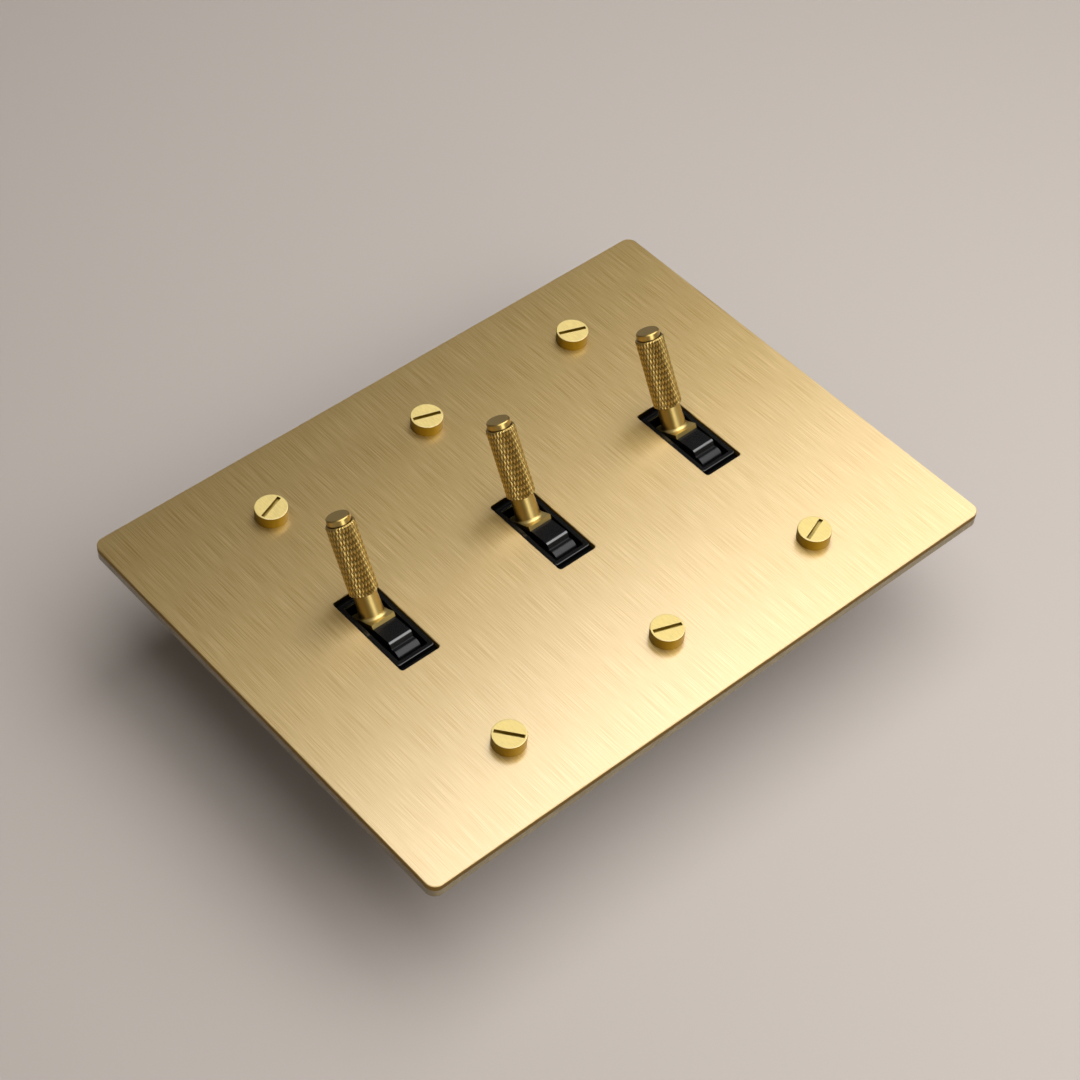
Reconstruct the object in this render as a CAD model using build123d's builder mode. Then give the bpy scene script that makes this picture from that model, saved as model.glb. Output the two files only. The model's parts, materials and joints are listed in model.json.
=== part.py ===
"""Three-gang toggle light switch: brass plate, clear backing and three complete snap switches.

Millimetres, +Z out of the wall. The wall plane is z = 0 and the plate's centre is at x = y = 0.
X runs along the plate's long side, +Y is up on the wall. All three levers are thrown up at rest.
"""
from build123d import *
import os
from math import atan2, cos, hypot, radians, sin

os.makedirs("parts", exist_ok=True)

# Plate and stack on the wall
GANG_PITCH = 46.04
BOX_SCREW_PITCH = 83.34
PLATE_LENGTH = 165.0
PLATE_HEIGHT = 121.0
PLATE_CORNER = 2.5
BRASS_THICK = 1.5
BACKING_THICK = 2.0
EDGE_BREAK = 0.15
OPENING_WIDTH = 10.95
OPENING_LENGTH = 24.7
OPENING_CORNER = 0.7
PLATE_TOP = BACKING_THICK + BRASS_THICK

# Slotted fixing screws: head, shank and the angle each slot was left at, column by column
HEAD_RADIUS = 3.95
HEAD_HEIGHT = 3.0
HEAD_CHAMFER = 0.2
DRIVE_WIDTH = 0.9
DRIVE_LENGTH = 6.9
DRIVE_DEPTH = 1.2
CUTTER_RADIUS = (DRIVE_LENGTH**2 / 4 + DRIVE_DEPTH**2) / (2 * DRIVE_DEPTH)
SHANK_RADIUS = 1.75
RELIEF_RADIUS = 1.5
SHANK_LENGTH = 25.0
SHANK_PLAY = 0.35
UPPER_SLOT_ANGLES = (20.0, -19.0, -21.0)
LOWER_SLOT_ANGLES = (-52.0, -20.0, 19.0)

# Toggle action: the lever turns about an X axis below the plate and stops at the tilt on both sides
TILT = 28.0
PIVOT_DEPTH = 10.0
PIVOT_Z = PLATE_TOP - PIVOT_DEPTH
TRUNNION_RADIUS = 2.0
RUNNING_FIT = 0.06

# Steel strap
STRAP_THICK = 1.5
STRAP_WIDTH = 24.0
STRAP_LENGTH = 100.0
TONGUE_WIDTH = 14.0
STRAP_CORNER = 1.5
STRAP_PLAY = 0.4
FIXING_SLOT_LENGTH = 7.0

# Switch body: block under the strap, plinth through it and the rim in the plate's opening
BODY_WIDTH = STRAP_WIDTH
BODY_LENGTH = 41.0
BODY_CORNER = 1.5
BODY_DEPTH = 30.0
PLINTH_UNDERLAP = 0.25
PLINTH_PLAY = 0.2
RIM_SIDE_GAP = 0.3
RIM_END_GAP = 1.65
RIM_WALL = 1.1
RIM_DROP = 0.3
RIM_ROUND = 0.2
RIM_CORNER = 0.6

PLINTH_WIDTH = OPENING_WIDTH + 2 * PLINTH_UNDERLAP
PLINTH_LENGTH = OPENING_LENGTH + 2 * PLINTH_UNDERLAP
PLINTH_TOP = BACKING_THICK - PLINTH_PLAY
RIM_WIDTH = OPENING_WIDTH - 2 * RIM_SIDE_GAP
RIM_LENGTH = OPENING_LENGTH - 2 * RIM_END_GAP
RIM_TOP = PLATE_TOP - RIM_DROP
MOUTH_WIDTH = RIM_WIDTH - 2 * RIM_WALL
MOUTH_LENGTH = RIM_LENGTH - 2 * RIM_WALL

# Rocker profile in the lever's own frame: distance across, distance along the lever from the pivot
ROCKER_SIDE_GAP = 1.025
ROCKER_WIDTH = MOUTH_WIDTH - 2 * ROCKER_SIDE_GAP
SEAT_HALF = 4.1
SEAT_HEIGHT = 9.2
RIDGE_HALF = 9.45
RIDGE_HEIGHT = 6.95
SHELF_HALF = 11.6
SHELF_HEIGHT = 5.3
SKIRT_HALF = 11.2
LEG_HALF = 2.4
LEG_LENGTH = 7.8
SWEEP_GAP = 0.4
SWEEP_RADIUS = hypot(SHELF_HALF, SHELF_HEIGHT)
CHAMBER_RADIUS = SWEEP_RADIUS + SWEEP_GAP

# Lever: foot, neck, knurled grip and the stud through them
FOOT_THICK = 1.1
FOOT_OVERHANG = 0.2
FOOT_CORNER = 0.15
NECK_RADIUS = 2.7
NECK_ROOT_RADIUS = 3.0
NECK_LENGTH = 6.1
NECK_FILLET = 0.8
GRIP_RADIUS = 3.45
GRIP_LENGTH = 17.8
GRIP_CHAMFER = 0.35
TIP_RADIUS = 2.8
TIP_LENGTH = 1.6
TIP_CHAMFER = 0.25
STUD_RADIUS = 1.5
STUD_FIT = 0.05
STUD_FOOT = 3.2
STUD_IN_GRIP = 8.0
STUD_END_PLAY = 0.2
FOOT_TOP = SEAT_HEIGHT + FOOT_THICK
GRIP_START = FOOT_TOP + NECK_LENGTH
GRIP_END = GRIP_START + GRIP_LENGTH

# Contact chamber, to one side of the rocker, and the snap spring under it
WALL = 2.8
CHAMBER_RIGHT = BODY_WIDTH / 2 - WALL
CHAMBER_LEFT = -MOUTH_WIDTH / 2
CHAMBER_HALF_LENGTH = CHAMBER_RADIUS + 0.3
FLOOR_THICK = 2.0
BODY_BACK = -BODY_DEPTH
FLOOR_Z = BODY_BACK + FLOOR_THICK
TRUNNION_LENGTH = 2.4
TRUNNION_END_PLAY = 0.2
BALL_RADIUS = 1.6
BALL_DROP = 10.0
BALL_NECK_RADIUS = 1.0
SPRING_RADIUS = 2.3
SPRING_WIRE = 0.3
SPRING_TURNS = 7
SPRING_SEAT_RISE = 1.5
SPRING_HEAD_GAP = 0.9

# Peg and fork: the rocker's peg swings the contact arm through half the lever's angle
PEG_RADIUS = 1.2
PEG_DROP = 6.5
PEG_PLAY = 0.3
HINGE_DROP = 18.0
ARM_THICK = 1.2
ARM_HALF = 1.5
ARM_EYE_RADIUS = 2.2
ARM_LENGTH = 13.5
FORK_PRONG = 1.3
FORK_ROOT = 9.9
ARM_TO_STRIP = 1.5
HINGE_PIN_RADIUS = 1.0
CONTACT_RADIUS = 1.5
CONTACT_HEIGHT = FORK_ROOT - FORK_PRONG - 2 * CONTACT_RADIUS
CONTACT_PROUD = 1.2
TAB_HEIGHT = 2.8 * CONTACT_RADIUS
CONTACT_GAP = 0.1

# Terminal strips that straddle the side wall, and their screws
STRIP_THICK = 1.0
STRIP_WIDTH = 6.0
STRIP_Y = 9.0
STRIP_PLAY = 0.2
OUTER_LEG = 14.0
SCREW_DROP = 8.0
BINDING_RADIUS = 3.5
BINDING_HEIGHT = 2.0
BINDING_SHANK = 3.1

# Rivets and earth screw
RIVET_RADIUS = 1.5
RIVET_PLAY = 0.1
RIVET_Y = (CHAMBER_HALF_LENGTH + BODY_LENGTH / 2) / 2
RIVET_HEAD_RADIUS = 2.4
RIVET_HEAD_HEIGHT = 1.2
RIVET_POCKET = 1.6
EARTH_X = -8.0
EARTH_HEAD_RADIUS = 3.2
EARTH_HEAD_HEIGHT = 2.2
EARTH_GAP = 0.4
EARTH_Y = -(BODY_LENGTH / 2 + EARTH_HEAD_RADIUS + EARTH_GAP)
STRAP_BODY_LENGTH = 2 * (EARTH_HEAD_RADIUS + SHANK_RADIUS - EARTH_Y)

GANGS = {"left": -GANG_PITCH, "middle": 0.0, "right": GANG_PITCH}
COLUMNS = (-GANG_PITCH, 0.0, GANG_PITCH)

# The lever's frame at rest: up the lever, and across it toward the raised side of the wall
UP_Y = sin(radians(TILT))
UP_Z = cos(radians(TILT))
LEVER_SIDE = Plane(origin=(0, 0, PIVOT_Z), x_dir=(0, UP_Z, -UP_Y), z_dir=(1, 0, 0))
LEVER_AXIS = Axis((0, 0, PIVOT_Z), (0, UP_Y, UP_Z))


def lever_cross(distance):
    """Plane square to the lever, at a distance from the pivot along it."""
    centre = (0, distance * UP_Y, PIVOT_Z + distance * UP_Z)
    return Plane(origin=centre, x_dir=(1, 0, 0), z_dir=(0, UP_Y, UP_Z))


# Brass plate: three lever openings and six clearance holes
with BuildPart() as front_plate:
    with BuildSketch(Plane.XY.offset(BACKING_THICK)):
        RectangleRounded(PLATE_LENGTH, PLATE_HEIGHT, PLATE_CORNER)
        with GridLocations(GANG_PITCH, 0, 3, 1):
            RectangleRounded(OPENING_WIDTH, OPENING_LENGTH, OPENING_CORNER, mode=Mode.SUBTRACT)
        with GridLocations(GANG_PITCH, BOX_SCREW_PITCH, 3, 2):
            Circle(SHANK_RADIUS + SHANK_PLAY, mode=Mode.SUBTRACT)
    extrude(amount=BRASS_THICK)
    chamfer(front_plate.faces().sort_by(Axis.Z)[-1].edges(), length=EDGE_BREAK)

# Clear backing: same outline, with a window in which each strap lies
with BuildPart() as backing_plate:
    with BuildSketch():
        RectangleRounded(PLATE_LENGTH, PLATE_HEIGHT, PLATE_CORNER)
    extrude(amount=BACKING_THICK)
    with BuildSketch(mode=Mode.PRIVATE) as strap_window:
        Rectangle(STRAP_WIDTH + 2 * STRAP_PLAY, STRAP_BODY_LENGTH + 2 * STRAP_PLAY)
        Rectangle(TONGUE_WIDTH + 2 * STRAP_PLAY, STRAP_LENGTH + 2 * STRAP_PLAY)
        fillet(strap_window.vertices(), STRAP_CORNER)
    with BuildSketch():
        with GridLocations(GANG_PITCH, 0, 3, 1):
            add(strap_window.sketch)
    extrude(amount=BACKING_THICK, mode=Mode.SUBTRACT)

# Fixing screws: cheese heads, slots sunk by a disc cutter, shanks relieved as far as the wall
with BuildPart() as fixing_screws:
    with GridLocations(GANG_PITCH, BOX_SCREW_PITCH, 3, 2):
        with Locations((0, 0, PLATE_TOP)):
            Cylinder(HEAD_RADIUS, HEAD_HEIGHT, align=(Align.CENTER, Align.CENTER, Align.MIN))
            Cylinder(RELIEF_RADIUS, PLATE_TOP, align=(Align.CENTER, Align.CENTER, Align.MAX))
        Cylinder(SHANK_RADIUS, SHANK_LENGTH - PLATE_TOP, align=(Align.CENTER, Align.CENTER, Align.MAX))
    chamfer(fixing_screws.edges().group_by(Axis.Z)[-1], length=HEAD_CHAMFER)
    cutter_z = PLATE_TOP + HEAD_HEIGHT + CUTTER_RADIUS - DRIVE_DEPTH
    for x, upper, lower in zip(COLUMNS, UPPER_SLOT_ANGLES, LOWER_SLOT_ANGLES):
        with Locations(
            Location((x, BOX_SCREW_PITCH / 2, cutter_z), (0, 0, upper)),
            Location((x, -BOX_SCREW_PITCH / 2, cutter_z), (0, 0, lower)),
        ):
            Cylinder(CUTTER_RADIUS, DRIVE_WIDTH, rotation=(90, 0, 0), mode=Mode.SUBTRACT)

# Strap: wide middle with the plinth's window, narrow tongues with slotted ends
with BuildPart() as strap:
    with BuildSketch() as strap_outline:
        Rectangle(STRAP_WIDTH, STRAP_BODY_LENGTH)
        Rectangle(TONGUE_WIDTH, STRAP_LENGTH)
        fillet(strap_outline.vertices(), STRAP_CORNER)
        Rectangle(PLINTH_WIDTH + 2 * PLINTH_PLAY, PLINTH_LENGTH + 2 * PLINTH_PLAY, mode=Mode.SUBTRACT)
        with GridLocations(0, BOX_SCREW_PITCH, 1, 2):
            SlotOverall(FIXING_SLOT_LENGTH, 2 * (SHANK_RADIUS + SHANK_PLAY), mode=Mode.SUBTRACT)
        with Locations((EARTH_X, EARTH_Y)):
            Circle(SHANK_RADIUS + STUD_FIT, mode=Mode.SUBTRACT)
    extrude(amount=STRAP_THICK)
    with Locations((0, RIVET_Y, STRAP_THICK), (0, -RIVET_Y, STRAP_THICK)):
        CounterSinkHole(RIVET_RADIUS + RIVET_PLAY, RIVET_HEAD_RADIUS + RIVET_PLAY, counter_sink_angle=90)

# Front cover: block under the strap, plinth through it, rim in the opening, round chamber below
with BuildPart() as front_cover:
    with BuildSketch(Plane.XY.offset(PIVOT_Z)):
        RectangleRounded(BODY_WIDTH, BODY_LENGTH, BODY_CORNER)
    extrude(amount=-PIVOT_Z)
    with BuildSketch():
        RectangleRounded(PLINTH_WIDTH, PLINTH_LENGTH, OPENING_CORNER)
    extrude(amount=PLINTH_TOP)
    with BuildSketch(Plane.XY.offset(PLINTH_TOP)):
        RectangleRounded(RIM_WIDTH, RIM_LENGTH, RIM_CORNER)
    extrude(amount=RIM_TOP - PLINTH_TOP)
    with BuildSketch(Plane.XY.offset(RIM_TOP)):
        RectangleRounded(MOUTH_WIDTH, MOUTH_LENGTH, RIM_CORNER / 2)
    extrude(amount=PIVOT_Z - RIM_TOP, mode=Mode.SUBTRACT)
    fillet(front_cover.faces().sort_by(Axis.Z)[-1].edges(), radius=RIM_ROUND)
    with BuildSketch(Plane.YZ.offset(-MOUTH_WIDTH / 2)):
        with Locations((0, PIVOT_Z)):
            Circle(CHAMBER_RADIUS)
    extrude(amount=MOUTH_WIDTH, mode=Mode.SUBTRACT)
    with BuildSketch(Plane.YZ.offset(CHAMBER_LEFT - TRUNNION_LENGTH)):
        with Locations((0, PIVOT_Z)):
            Circle(TRUNNION_RADIUS + RUNNING_FIT)
    extrude(amount=CHAMBER_RIGHT - CHAMBER_LEFT + TRUNNION_LENGTH + WALL / 2, mode=Mode.SUBTRACT)
    with Locations((0, RIVET_Y), (0, -RIVET_Y)):
        Hole(RIVET_RADIUS + RIVET_PLAY)

# Base: box with the contact chamber, trunnion seats, notches for the strips and rivet pockets
with BuildPart() as base:
    with BuildSketch(Plane.XY.offset(BODY_BACK)):
        RectangleRounded(BODY_WIDTH, BODY_LENGTH, BODY_CORNER)
    extrude(amount=PIVOT_Z - BODY_BACK)
    chamfer(base.faces().sort_by(Axis.Z)[0].edges(), length=BODY_CORNER / 2)
    with BuildSketch(Plane.XY.offset(FLOOR_Z)):
        with Locations(((CHAMBER_LEFT + CHAMBER_RIGHT) / 2, 0)):
            Rectangle(CHAMBER_RIGHT - CHAMBER_LEFT, 2 * CHAMBER_HALF_LENGTH)
    extrude(amount=PIVOT_Z - FLOOR_Z, mode=Mode.SUBTRACT)
    with BuildSketch(Plane.YZ.offset(CHAMBER_LEFT - TRUNNION_LENGTH)):
        with Locations((0, PIVOT_Z)):
            Circle(TRUNNION_RADIUS + RUNNING_FIT)
    extrude(amount=CHAMBER_RIGHT - CHAMBER_LEFT + TRUNNION_LENGTH + WALL / 2, mode=Mode.SUBTRACT)
    with BuildSketch(Plane.XY.offset(PIVOT_Z)):
        with Locations((BODY_WIDTH / 2, STRIP_Y), (BODY_WIDTH / 2, -STRIP_Y)):
            Rectangle(2 * WALL, STRIP_WIDTH + 2 * STRIP_PLAY)
    extrude(amount=-(STRIP_THICK + 2 * STRIP_PLAY), mode=Mode.SUBTRACT)
    with BuildSketch(Plane.YZ.offset(BODY_WIDTH / 2)):
        with Locations((STRIP_Y, PIVOT_Z - SCREW_DROP), (-STRIP_Y, PIVOT_Z - SCREW_DROP)):
            Circle(SHANK_RADIUS + SHANK_PLAY)
    extrude(amount=STRIP_THICK - BINDING_SHANK - STRIP_PLAY, mode=Mode.SUBTRACT)
    with Locations((0, RIVET_Y), (0, -RIVET_Y)):
        Hole(RIVET_RADIUS + RIVET_PLAY)
    with BuildSketch(Plane.XY.offset(BODY_BACK)):
        with Locations((0, RIVET_Y), (0, -RIVET_Y)):
            Circle(RIVET_HEAD_RADIUS + SHANK_PLAY)
    extrude(amount=RIVET_POCKET, mode=Mode.SUBTRACT)
    with Locations((0, 0, FLOOR_Z)):
        Cylinder(BALL_NECK_RADIUS, SPRING_SEAT_RISE, align=(Align.CENTER, Align.CENTER, Align.MIN))

# Rocker: stepped wings either side of the lever's seat, trunnions, leg with peg and ball end
with BuildPart() as rocker:
    with BuildSketch(LEVER_SIDE.offset(-ROCKER_WIDTH / 2)):
        with BuildLine():
            right_side = [
                (LEG_HALF, -LEG_LENGTH),
                (LEG_HALF, -1.4 * TRUNNION_RADIUS),
                (SKIRT_HALF, 0),
                (SHELF_HALF, SHELF_HEIGHT),
                (RIDGE_HALF, SHELF_HEIGHT),
                (RIDGE_HALF, RIDGE_HEIGHT),
                (SEAT_HALF, SEAT_HEIGHT),
            ]
            left_side = [(-across, along) for across, along in reversed(right_side)]
            rounding = [0.4, 1.2, 1.0, 1.95, 0.1, 0.7, 0.3]
            FilletPolyline(right_side + left_side, radius=rounding + rounding[::-1], close=True)
        make_face()
    extrude(amount=ROCKER_WIDTH)
    with BuildSketch(Plane.YZ.offset(CHAMBER_LEFT - TRUNNION_LENGTH + TRUNNION_END_PLAY)):
        with Locations((0, PIVOT_Z)):
            Circle(TRUNNION_RADIUS)
    extrude(amount=CHAMBER_RIGHT - CHAMBER_LEFT + TRUNNION_LENGTH + WALL / 2 - 2 * TRUNNION_END_PLAY)
    with BuildSketch(LEVER_SIDE):
        with Locations((0, -PEG_DROP)):
            Circle(PEG_RADIUS)
    extrude(amount=CHAMBER_RIGHT - STRIP_THICK - ARM_TO_STRIP + STRIP_PLAY)
    with BuildSketch(lever_cross(-BALL_DROP)):
        Circle(BALL_NECK_RADIUS)
    extrude(amount=BALL_DROP - LEG_LENGTH)
    with Locations((0, -BALL_DROP * UP_Y, PIVOT_Z - BALL_DROP * UP_Z)):
        Sphere(BALL_RADIUS)
    with BuildSketch(lever_cross(SEAT_HEIGHT)):
        Circle(STUD_RADIUS + STUD_FIT)
    extrude(amount=STUD_FOOT - STUD_END_PLAY - SEAT_HEIGHT, mode=Mode.SUBTRACT)

# Lever foot: turned with a flared neck, then milled to the rocker's width and the seat's length
with BuildPart() as lever_foot:
    with BuildSketch(LEVER_SIDE):
        with BuildLine():
            FilletPolyline(
                (2 * SEAT_HALF, FOOT_TOP),
                (NECK_ROOT_RADIUS, FOOT_TOP),
                (NECK_RADIUS, GRIP_START),
                radius=NECK_FILLET,
            )
            Polyline(
                (NECK_RADIUS, GRIP_START),
                (0, GRIP_START),
                (0, SEAT_HEIGHT),
                (2 * SEAT_HALF, SEAT_HEIGHT),
                (2 * SEAT_HALF, FOOT_TOP),
            )
        make_face()
    revolve(axis=LEVER_AXIS)
    with BuildSketch(lever_cross(SEAT_HEIGHT)):
        RectangleRounded(ROCKER_WIDTH + 2 * FOOT_OVERHANG, 2 * (SEAT_HALF + FOOT_OVERHANG), FOOT_CORNER)
    extrude(amount=FOOT_THICK + NECK_LENGTH, mode=Mode.INTERSECT)
    with BuildSketch(lever_cross(SEAT_HEIGHT)):
        Circle(STUD_RADIUS + STUD_FIT)
    extrude(amount=FOOT_THICK + NECK_LENGTH, mode=Mode.SUBTRACT)

# Lever grip: turned sleeve at the diameter over the knurl, smooth stepped end, blind bore
with BuildPart() as lever_grip:
    with BuildSketch(LEVER_SIDE):
        with BuildLine():
            Polyline(
                (0, GRIP_START),
                (GRIP_RADIUS - GRIP_CHAMFER, GRIP_START),
                (GRIP_RADIUS, GRIP_START + GRIP_CHAMFER),
                (GRIP_RADIUS, GRIP_END - GRIP_CHAMFER),
                (GRIP_RADIUS - GRIP_CHAMFER, GRIP_END),
                (TIP_RADIUS, GRIP_END),
                (TIP_RADIUS, GRIP_END + TIP_LENGTH - TIP_CHAMFER),
                (TIP_RADIUS - TIP_CHAMFER, GRIP_END + TIP_LENGTH),
                (0, GRIP_END + TIP_LENGTH),
                close=True,
            )
        make_face()
    revolve(axis=LEVER_AXIS)
    with BuildSketch(lever_cross(GRIP_START)):
        Circle(STUD_RADIUS + STUD_FIT)
    extrude(amount=STUD_IN_GRIP + STUD_END_PLAY, mode=Mode.SUBTRACT)

# Lever stud: from the rocker, through the foot, into the grip
with BuildPart() as lever_stud:
    with BuildSketch(lever_cross(STUD_FOOT)):
        Circle(STUD_RADIUS)
    extrude(amount=GRIP_START + STUD_IN_GRIP - STUD_FOOT)
    chamfer(lever_stud.edges().filter_by(GeomType.CIRCLE), length=0.3)

# Snap spring: leans from the boss on the floor to the ball end of the rocker's leg
BALL_Y = -BALL_DROP * UP_Y
BALL_Z = PIVOT_Z - BALL_DROP * UP_Z
SPRING_Z = FLOOR_Z + SPRING_SEAT_RISE
SPRING_LENGTH = hypot(BALL_Y, BALL_Z - SPRING_Z) - SPRING_HEAD_GAP
with BuildPart() as snap_spring:
    with BuildLine() as coil:
        Helix(
            pitch=SPRING_LENGTH / SPRING_TURNS,
            height=SPRING_LENGTH,
            radius=SPRING_RADIUS,
            center=(0, 0, SPRING_Z),
            direction=(0, BALL_Y, BALL_Z - SPRING_Z),
        )
    with BuildSketch(Plane(origin=coil.line @ 0, z_dir=coil.line % 0)):
        RegularPolygon(SPRING_WIRE, 6)
    sweep(is_frenet=True)

# Line terminal: strip over the wall, inner leg turned toward the middle, pin for the contact arm
HINGE_Z = PIVOT_Z - HINGE_DROP
STRIP_TOP = PIVOT_Z - STRIP_PLAY
with BuildPart() as line_terminal:
    with BuildSketch(Plane.XZ.offset(-STRIP_Y - STRIP_WIDTH / 2)):
        with BuildLine():
            Polyline(
                (CHAMBER_RIGHT - STRIP_THICK, HINGE_Z),
                (CHAMBER_RIGHT - STRIP_THICK, STRIP_TOP),
                (BODY_WIDTH / 2 + STRIP_THICK, STRIP_TOP),
                (BODY_WIDTH / 2 + STRIP_THICK, STRIP_TOP - OUTER_LEG),
                (BODY_WIDTH / 2, STRIP_TOP - OUTER_LEG),
                (BODY_WIDTH / 2, STRIP_TOP - STRIP_THICK),
                (CHAMBER_RIGHT, STRIP_TOP - STRIP_THICK),
                (CHAMBER_RIGHT, HINGE_Z),
                close=True,
            )
        make_face()
    extrude(amount=STRIP_WIDTH)
    with BuildSketch(Plane.YZ.offset(CHAMBER_RIGHT - STRIP_THICK)):
        with Locations(((STRIP_Y + STRIP_WIDTH / 2 - ARM_EYE_RADIUS) / 2, HINGE_Z)):
            Rectangle(STRIP_Y + STRIP_WIDTH / 2 + ARM_EYE_RADIUS, 2 * ARM_EYE_RADIUS)
    extrude(amount=STRIP_THICK)
    with BuildSketch(Plane.YZ.offset(CHAMBER_RIGHT - STRIP_THICK)):
        with Locations((0, HINGE_Z)):
            Circle(HINGE_PIN_RADIUS)
    extrude(amount=-(ARM_TO_STRIP + ARM_THICK + STRIP_PLAY))
    with BuildSketch(Plane.YZ.offset(BODY_WIDTH / 2)):
        with Locations((STRIP_Y, PIVOT_Z - SCREW_DROP)):
            Circle(SHANK_RADIUS + STUD_FIT)
    extrude(amount=STRIP_THICK, mode=Mode.SUBTRACT)

# Contact arm: eye on the pin, fork round the peg, contact that faces the load terminal at rest
ARM_TILT = atan2(PEG_DROP * UP_Y, HINGE_DROP - PEG_DROP * UP_Z)
ARM_X = CHAMBER_RIGHT - STRIP_THICK - ARM_TO_STRIP - ARM_THICK
ARM_SIDE = Plane(
    origin=(ARM_X, 0, HINGE_Z),
    x_dir=(0, cos(ARM_TILT), sin(ARM_TILT)),
    z_dir=(1, 0, 0),
)
FORK_WIDTH = 2 * (PEG_RADIUS + PEG_PLAY + FORK_PRONG)
CONTACT_Y = -CONTACT_HEIGHT * sin(ARM_TILT)
CONTACT_Z = HINGE_Z + CONTACT_HEIGHT * cos(ARM_TILT)
CONTACT_FACE = CONTACT_Y - ARM_HALF - CONTACT_PROUD
with BuildPart() as contact_arm:
    with BuildSketch(ARM_SIDE):
        Circle(ARM_EYE_RADIUS)
        with Locations((0, ARM_LENGTH / 2)):
            Rectangle(2 * ARM_HALF, ARM_LENGTH)
        with Locations((0, (FORK_ROOT - FORK_PRONG + ARM_LENGTH) / 2)):
            Rectangle(FORK_WIDTH, ARM_LENGTH - FORK_ROOT + FORK_PRONG)
        with Locations((0, (FORK_ROOT + ARM_LENGTH) / 2)):
            Rectangle(2 * (PEG_RADIUS + PEG_PLAY), ARM_LENGTH - FORK_ROOT, mode=Mode.SUBTRACT)
        Circle(HINGE_PIN_RADIUS + RUNNING_FIT, mode=Mode.SUBTRACT)
    extrude(amount=ARM_THICK)
    with BuildSketch(Plane.XZ.offset(-CONTACT_FACE)):
        with Locations((ARM_X + ARM_THICK / 2, CONTACT_Z)):
            Circle(CONTACT_RADIUS)
    extrude(amount=CONTACT_FACE - CONTACT_Y)

# Load terminal: strip over the wall, inner leg with a turned tab that carries the fixed contact
TAB_Y = CONTACT_FACE - CONTACT_GAP - CONTACT_PROUD
with BuildPart() as load_terminal:
    with BuildSketch(Plane.XZ.offset(STRIP_Y - STRIP_WIDTH / 2)):
        with BuildLine():
            Polyline(
                (CHAMBER_RIGHT - STRIP_THICK, CONTACT_Z - TAB_HEIGHT / 2),
                (CHAMBER_RIGHT - STRIP_THICK, STRIP_TOP),
                (BODY_WIDTH / 2 + STRIP_THICK, STRIP_TOP),
                (BODY_WIDTH / 2 + STRIP_THICK, STRIP_TOP - OUTER_LEG),
                (BODY_WIDTH / 2, STRIP_TOP - OUTER_LEG),
                (BODY_WIDTH / 2, STRIP_TOP - STRIP_THICK),
                (CHAMBER_RIGHT, STRIP_TOP - STRIP_THICK),
                (CHAMBER_RIGHT, CONTACT_Z - TAB_HEIGHT / 2),
                close=True,
            )
        make_face()
    extrude(amount=STRIP_WIDTH)
    with BuildSketch(Plane.XZ.offset(-TAB_Y)):
        with Locations(((ARM_X + CHAMBER_RIGHT) / 2 - CONTACT_RADIUS / 2, CONTACT_Z)):
            Rectangle(CHAMBER_RIGHT - ARM_X + CONTACT_RADIUS, TAB_HEIGHT)
    extrude(amount=STRIP_THICK)
    with BuildSketch(Plane.YZ.offset(CHAMBER_RIGHT - STRIP_THICK)):
        with Locations(((TAB_Y - STRIP_Y) / 2, CONTACT_Z)):
            Rectangle(STRIP_Y + TAB_Y, TAB_HEIGHT)
    extrude(amount=STRIP_THICK)
    with BuildSketch(Plane.XZ.offset(-TAB_Y)):
        with Locations((ARM_X + ARM_THICK / 2, CONTACT_Z)):
            Circle(CONTACT_RADIUS)
    extrude(amount=-CONTACT_PROUD)
    with BuildSketch(Plane.YZ.offset(BODY_WIDTH / 2)):
        with Locations((-STRIP_Y, PIVOT_Z - SCREW_DROP)):
            Circle(SHANK_RADIUS + STUD_FIT)
    extrude(amount=STRIP_THICK, mode=Mode.SUBTRACT)

# Terminal screws: binding heads on the outer legs, shanks into the base's blind holes
with BuildPart() as terminal_screws:
    with BuildSketch(Plane.YZ.offset(BODY_WIDTH / 2 + STRIP_THICK)):
        with Locations((STRIP_Y, PIVOT_Z - SCREW_DROP), (-STRIP_Y, PIVOT_Z - SCREW_DROP)):
            Circle(BINDING_RADIUS)
    extrude(amount=BINDING_HEIGHT)
    chamfer(terminal_screws.edges().group_by(Axis.X)[-1], length=3 * HEAD_CHAMFER)
    with BuildSketch(Plane.YZ.offset(BODY_WIDTH / 2 + STRIP_THICK)):
        with Locations((STRIP_Y, PIVOT_Z - SCREW_DROP), (-STRIP_Y, PIVOT_Z - SCREW_DROP)):
            Circle(SHANK_RADIUS)
    extrude(amount=-BINDING_SHANK)
    with BuildSketch(Plane.YZ.offset(BODY_WIDTH / 2 + STRIP_THICK + BINDING_HEIGHT)):
        with Locations((STRIP_Y, PIVOT_Z - SCREW_DROP), (-STRIP_Y, PIVOT_Z - SCREW_DROP)):
            Rectangle(2 * BINDING_RADIUS, DRIVE_WIDTH, rotation=30)
    extrude(amount=-BINDING_HEIGHT / 2, mode=Mode.SUBTRACT)

# Earth screw: hexagon head under the strap
with BuildPart() as earth_screw:
    with BuildSketch():
        with Locations((EARTH_X, EARTH_Y)):
            RegularPolygon(EARTH_HEAD_RADIUS, 6)
    extrude(amount=-EARTH_HEAD_HEIGHT)
    with Locations((EARTH_X, EARTH_Y)):
        Cylinder(SHANK_RADIUS, STRAP_THICK, align=(Align.CENTER, Align.CENTER, Align.MIN))

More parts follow.
